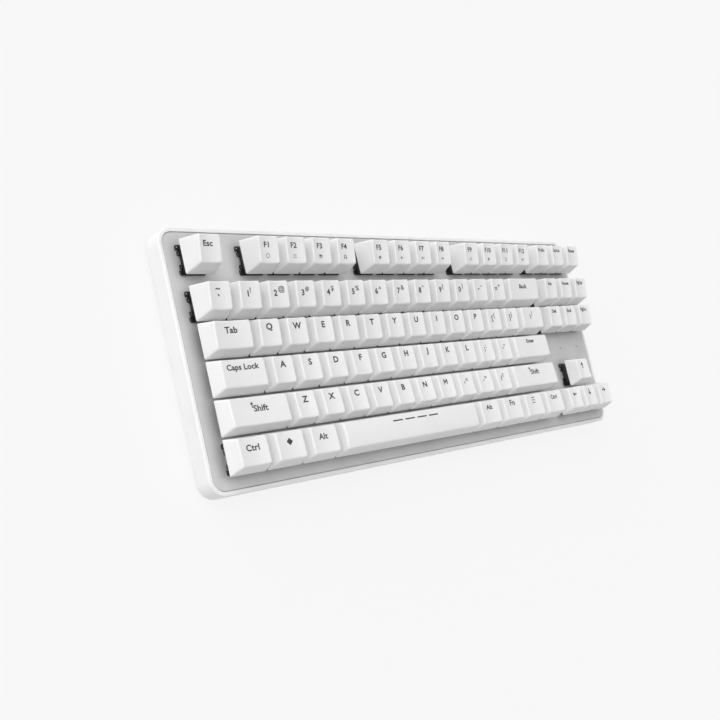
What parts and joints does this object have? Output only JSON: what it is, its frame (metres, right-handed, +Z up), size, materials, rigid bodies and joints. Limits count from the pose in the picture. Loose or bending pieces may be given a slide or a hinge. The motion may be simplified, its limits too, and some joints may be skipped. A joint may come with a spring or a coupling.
{
  "type": "mechanical keyboard",
  "caption": "Tenkeyless mechanical keyboard: a white case with a light grey plate, tall floating keycaps on sprung switches, a cable inlet at the back and two flip-out feet.",
  "frame": {"origin": "on the desk, under the centre of the case's outline", "axes": "+X to the typist's right along the longest side, +Y to the back, +Z up through the keys"},
  "size_m": [0.3622, 0.1344, 0.0315],
  "materials": {
    "keycap": "fine matte white PBT plastic",
    "case": "satin white ABS plastic",
    "plate": "bead-blasted light grey aluminium",
    "board": "green solder mask on glass-fibre laminate",
    "housing": "semi-gloss black nylon",
    "steel": "plated steel",
    "rubber": "matte grey rubber"
  },
  "bodies": {
    "base": {"case_frame": "case", "bottom_cover": "case", "switch_plate": "plate", "circuit_board": "board", "switch_bank": "housing", "usb_socket": "steel", "pad_front_left": "rubber", "pad_front_right": "rubber", "pad_rear_left": "rubber", "pad_rear_right": "rubber"},
    "space_bar_wire": {"space_bar_wire": "steel"},
    "flip_foot_left": {"flip_foot_left": "case"},
    "flip_foot_right": {"flip_foot_right": "case"},
    "key_escape": {"key_escape": "keycap"},
    "keys_f1_f4": {"keys_f1_f4": "keycap"},
    "keys_f5_f8": {"keys_f5_f8": "keycap"},
    "keys_f9_f12": {"keys_f9_f12": "keycap"},
    "keys_print_pause": {"keys_print_pause": "keycap"},
    "keys_grave_5": {"keys_grave_5": "keycap"},
    "keys_6_equals": {"keys_6_equals": "keycap"},
    "key_backspace": {"key_backspace": "keycap"},
    "keys_navigation": {"keys_navigation": "keycap"},
    "key_tab": {"key_tab": "keycap"},
    "key_q": {"key_q": "keycap"},
    "key_w": {"key_w": "keycap"},
    "key_e": {"key_e": "keycap"},
    "key_r": {"key_r": "keycap"},
    "key_t": {"key_t": "keycap"},
    "key_y": {"key_y": "keycap"},
    "key_u": {"key_u": "keycap"},
    "key_i": {"key_i": "keycap"},
    "key_o": {"key_o": "keycap"},
    "key_p": {"key_p": "keycap"},
    "keys_brackets": {"keys_brackets": "keycap"},
    "key_caps_lock": {"key_caps_lock": "keycap"},
    "key_a": {"key_a": "keycap"},
    "key_s": {"key_s": "keycap"},
    "key_d": {"key_d": "keycap"},
    "key_f": {"key_f": "keycap"},
    "key_g": {"key_g": "keycap"},
    "key_h": {"key_h": "keycap"},
    "key_j": {"key_j": "keycap"},
    "key_k": {"key_k": "keycap"},
    "key_l": {"key_l": "keycap"},
    "keys_semicolon_quote": {"keys_semicolon_quote": "keycap"},
    "key_enter": {"key_enter": "keycap"},
    "key_shift_left": {"key_shift_left": "keycap"},
    "key_z": {"key_z": "keycap"},
    "key_x": {"key_x": "keycap"},
    "key_c": {"key_c": "keycap"},
    "key_v": {"key_v": "keycap"},
    "key_b": {"key_b": "keycap"},
    "key_n": {"key_n": "keycap"},
    "key_m": {"key_m": "keycap"},
    "keys_comma_slash": {"keys_comma_slash": "keycap"},
    "key_shift_right": {"key_shift_right": "keycap"},
    "keys_modifiers_left": {"keys_modifiers_left": "keycap"},
    "key_space": {"key_space": "keycap"},
    "keys_modifiers_right": {"keys_modifiers_right": "keycap"},
    "keys_arrows": {"keys_arrows": "keycap"}
  },
  "joints": [
    {"name": "press_escape", "type": "slide", "parent": "base", "child": "key_escape", "axis": [0, 0, -1], "range_m": [0, 0.004], "stiffness_N_per_m": 75, "springref_m": -0.004},
    {"name": "press_f1_f4", "type": "slide", "parent": "base", "child": "keys_f1_f4", "axis": [0, 0, -1], "range_m": [0, 0.004], "stiffness_N_per_m": 300, "springref_m": -0.004},
    {"name": "press_f5_f8", "type": "slide", "parent": "base", "child": "keys_f5_f8", "axis": [0, 0, -1], "range_m": [0, 0.004], "stiffness_N_per_m": 300, "springref_m": -0.004},
    {"name": "press_f9_f12", "type": "slide", "parent": "base", "child": "keys_f9_f12", "axis": [0, 0, -1], "range_m": [0, 0.004], "stiffness_N_per_m": 300, "springref_m": -0.004},
    {"name": "press_print_pause", "type": "slide", "parent": "base", "child": "keys_print_pause", "axis": [0, 0, -1], "range_m": [0, 0.004], "stiffness_N_per_m": 225, "springref_m": -0.004},
    {"name": "press_grave_5", "type": "slide", "parent": "base", "child": "keys_grave_5", "axis": [0, 0, -1], "range_m": [0, 0.004], "stiffness_N_per_m": 450, "springref_m": -0.004},
    {"name": "press_6_equals", "type": "slide", "parent": "base", "child": "keys_6_equals", "axis": [0, 0, -1], "range_m": [0, 0.004], "stiffness_N_per_m": 525, "springref_m": -0.004},
    {"name": "press_backspace", "type": "slide", "parent": "base", "child": "key_backspace", "axis": [0, 0, -1], "range_m": [0, 0.004], "stiffness_N_per_m": 75, "springref_m": -0.004},
    {"name": "press_navigation", "type": "slide", "parent": "base", "child": "keys_navigation", "axis": [0, 0, -1], "range_m": [0, 0.004], "stiffness_N_per_m": 450, "springref_m": -0.004},
    {"name": "press_tab", "type": "slide", "parent": "base", "child": "key_tab", "axis": [0, 0, -1], "range_m": [0, 0.004], "stiffness_N_per_m": 75, "springref_m": -0.004},
    {"name": "press_q", "type": "slide", "parent": "base", "child": "key_q", "axis": [0, 0, -1], "range_m": [0, 0.004], "stiffness_N_per_m": 75, "springref_m": -0.004},
    {"name": "press_w", "type": "slide", "parent": "base", "child": "key_w", "axis": [0, 0, -1], "range_m": [0, 0.004], "stiffness_N_per_m": 75, "springref_m": -0.004},
    {"name": "press_e", "type": "slide", "parent": "base", "child": "key_e", "axis": [0, 0, -1], "range_m": [0, 0.004], "stiffness_N_per_m": 75, "springref_m": -0.004},
    {"name": "press_r", "type": "slide", "parent": "base", "child": "key_r", "axis": [0, 0, -1], "range_m": [0, 0.004], "stiffness_N_per_m": 75, "springref_m": -0.004},
    {"name": "press_t", "type": "slide", "parent": "base", "child": "key_t", "axis": [0, 0, -1], "range_m": [0, 0.004], "stiffness_N_per_m": 75, "springref_m": -0.004},
    {"name": "press_y", "type": "slide", "parent": "base", "child": "key_y", "axis": [0, 0, -1], "range_m": [0, 0.004], "stiffness_N_per_m": 75, "springref_m": -0.004},
    {"name": "press_u", "type": "slide", "parent": "base", "child": "key_u", "axis": [0, 0, -1], "range_m": [0, 0.004], "stiffness_N_per_m": 75, "springref_m": -0.004},
    {"name": "press_i", "type": "slide", "parent": "base", "child": "key_i", "axis": [0, 0, -1], "range_m": [0, 0.004], "stiffness_N_per_m": 75, "springref_m": -0.004},
    {"name": "press_o", "type": "slide", "parent": "base", "child": "key_o", "axis": [0, 0, -1], "range_m": [0, 0.004], "stiffness_N_per_m": 75, "springref_m": -0.004},
    {"name": "press_p", "type": "slide", "parent": "base", "child": "key_p", "axis": [0, 0, -1], "range_m": [0, 0.004], "stiffness_N_per_m": 75, "springref_m": -0.004},
    {"name": "press_brackets", "type": "slide", "parent": "base", "child": "keys_brackets", "axis": [0, 0, -1], "range_m": [0, 0.004], "stiffness_N_per_m": 225, "springref_m": -0.004},
    {"name": "press_caps_lock", "type": "slide", "parent": "base", "child": "key_caps_lock", "axis": [0, 0, -1], "range_m": [0, 0.004], "stiffness_N_per_m": 75, "springref_m": -0.004},
    {"name": "press_a", "type": "slide", "parent": "base", "child": "key_a", "axis": [0, 0, -1], "range_m": [0, 0.004], "stiffness_N_per_m": 75, "springref_m": -0.004},
    {"name": "press_s", "type": "slide", "parent": "base", "child": "key_s", "axis": [0, 0, -1], "range_m": [0, 0.004], "stiffness_N_per_m": 75, "springref_m": -0.004},
    {"name": "press_d", "type": "slide", "parent": "base", "child": "key_d", "axis": [0, 0, -1], "range_m": [0, 0.004], "stiffness_N_per_m": 75, "springref_m": -0.004},
    {"name": "press_f", "type": "slide", "parent": "base", "child": "key_f", "axis": [0, 0, -1], "range_m": [0, 0.004], "stiffness_N_per_m": 75, "springref_m": -0.004},
    {"name": "press_g", "type": "slide", "parent": "base", "child": "key_g", "axis": [0, 0, -1], "range_m": [0, 0.004], "stiffness_N_per_m": 75, "springref_m": -0.004},
    {"name": "press_h", "type": "slide", "parent": "base", "child": "key_h", "axis": [0, 0, -1], "range_m": [0, 0.004], "stiffness_N_per_m": 75, "springref_m": -0.004},
    {"name": "press_j", "type": "slide", "parent": "base", "child": "key_j", "axis": [0, 0, -1], "range_m": [0, 0.004], "stiffness_N_per_m": 75, "springref_m": -0.004},
    {"name": "press_k", "type": "slide", "parent": "base", "child": "key_k", "axis": [0, 0, -1], "range_m": [0, 0.004], "stiffness_N_per_m": 75, "springref_m": -0.004},
    {"name": "press_l", "type": "slide", "parent": "base", "child": "key_l", "axis": [0, 0, -1], "range_m": [0, 0.004], "stiffness_N_per_m": 75, "springref_m": -0.004},
    {"name": "press_semicolon_quote", "type": "slide", "parent": "base", "child": "keys_semicolon_quote", "axis": [0, 0, -1], "range_m": [0, 0.004], "stiffness_N_per_m": 150, "springref_m": -0.004},
    {"name": "press_enter", "type": "slide", "parent": "base", "child": "key_enter", "axis": [0, 0, -1], "range_m": [0, 0.004], "stiffness_N_per_m": 75, "springref_m": -0.004},
    {"name": "press_shift_left", "type": "slide", "parent": "base", "child": "key_shift_left", "axis": [0, 0, -1], "range_m": [0, 0.004], "stiffness_N_per_m": 75, "springref_m": -0.004},
    {"name": "press_z", "type": "slide", "parent": "base", "child": "key_z", "axis": [0, 0, -1], "range_m": [0, 0.004], "stiffness_N_per_m": 75, "springref_m": -0.004},
    {"name": "press_x", "type": "slide", "parent": "base", "child": "key_x", "axis": [0, 0, -1], "range_m": [0, 0.004], "stiffness_N_per_m": 75, "springref_m": -0.004},
    {"name": "press_c", "type": "slide", "parent": "base", "child": "key_c", "axis": [0, 0, -1], "range_m": [0, 0.004], "stiffness_N_per_m": 75, "springref_m": -0.004},
    {"name": "press_v", "type": "slide", "parent": "base", "child": "key_v", "axis": [0, 0, -1], "range_m": [0, 0.004], "stiffness_N_per_m": 75, "springref_m": -0.004},
    {"name": "press_b", "type": "slide", "parent": "base", "child": "key_b", "axis": [0, 0, -1], "range_m": [0, 0.004], "stiffness_N_per_m": 75, "springref_m": -0.004},
    {"name": "press_n", "type": "slide", "parent": "base", "child": "key_n", "axis": [0, 0, -1], "range_m": [0, 0.004], "stiffness_N_per_m": 75, "springref_m": -0.004},
    {"name": "press_m", "type": "slide", "parent": "base", "child": "key_m", "axis": [0, 0, -1], "range_m": [0, 0.004], "stiffness_N_per_m": 75, "springref_m": -0.004},
    {"name": "press_comma_slash", "type": "slide", "parent": "base", "child": "keys_comma_slash", "axis": [0, 0, -1], "range_m": [0, 0.004], "stiffness_N_per_m": 225, "springref_m": -0.004},
    {"name": "press_shift_right", "type": "slide", "parent": "base", "child": "key_shift_right", "axis": [0, 0, -1], "range_m": [0, 0.004], "stiffness_N_per_m": 75, "springref_m": -0.004},
    {"name": "press_modifiers_left", "type": "slide", "parent": "base", "child": "keys_modifiers_left", "axis": [0, 0, -1], "range_m": [0, 0.004], "stiffness_N_per_m": 225, "springref_m": -0.004},
    {"name": "press_space", "type": "slide", "parent": "base", "child": "key_space", "axis": [0, 0, -1], "range_m": [0, 0.004], "stiffness_N_per_m": 75, "springref_m": -0.004},
    {"name": "press_modifiers_right", "type": "slide", "parent": "base", "child": "keys_modifiers_right", "axis": [0, 0, -1], "range_m": [0, 0.004], "stiffness_N_per_m": 300, "springref_m": -0.004},
    {"name": "press_arrows", "type": "slide", "parent": "base", "child": "keys_arrows", "axis": [0, 0, -1], "range_m": [0, 0.004], "stiffness_N_per_m": 300, "springref_m": -0.004},
    {"name": "turn_space_bar_wire", "type": "hinge", "parent": "base", "child": "space_bar_wire", "pos_m": [0, -0.04111, 0.0137], "axis": [1, 0, 0], "range_deg": [0, 27]},
    {"name": "fold_out_foot_left", "type": "hinge", "parent": "base", "child": "flip_foot_left", "pos_m": [-0.132, 0.052, 0.0029], "axis": [1, 0, 0], "range_deg": [0, 95]},
    {"name": "fold_out_foot_right", "type": "hinge", "parent": "base", "child": "flip_foot_right", "pos_m": [0.132, 0.052, 0.0029], "axis": [1, 0, 0], "range_deg": [0, 95]}
  ],
  "couplings": [
    {"joint": "turn_space_bar_wire", "follows": "press_space", "rad_per_m": 113}
  ]
}
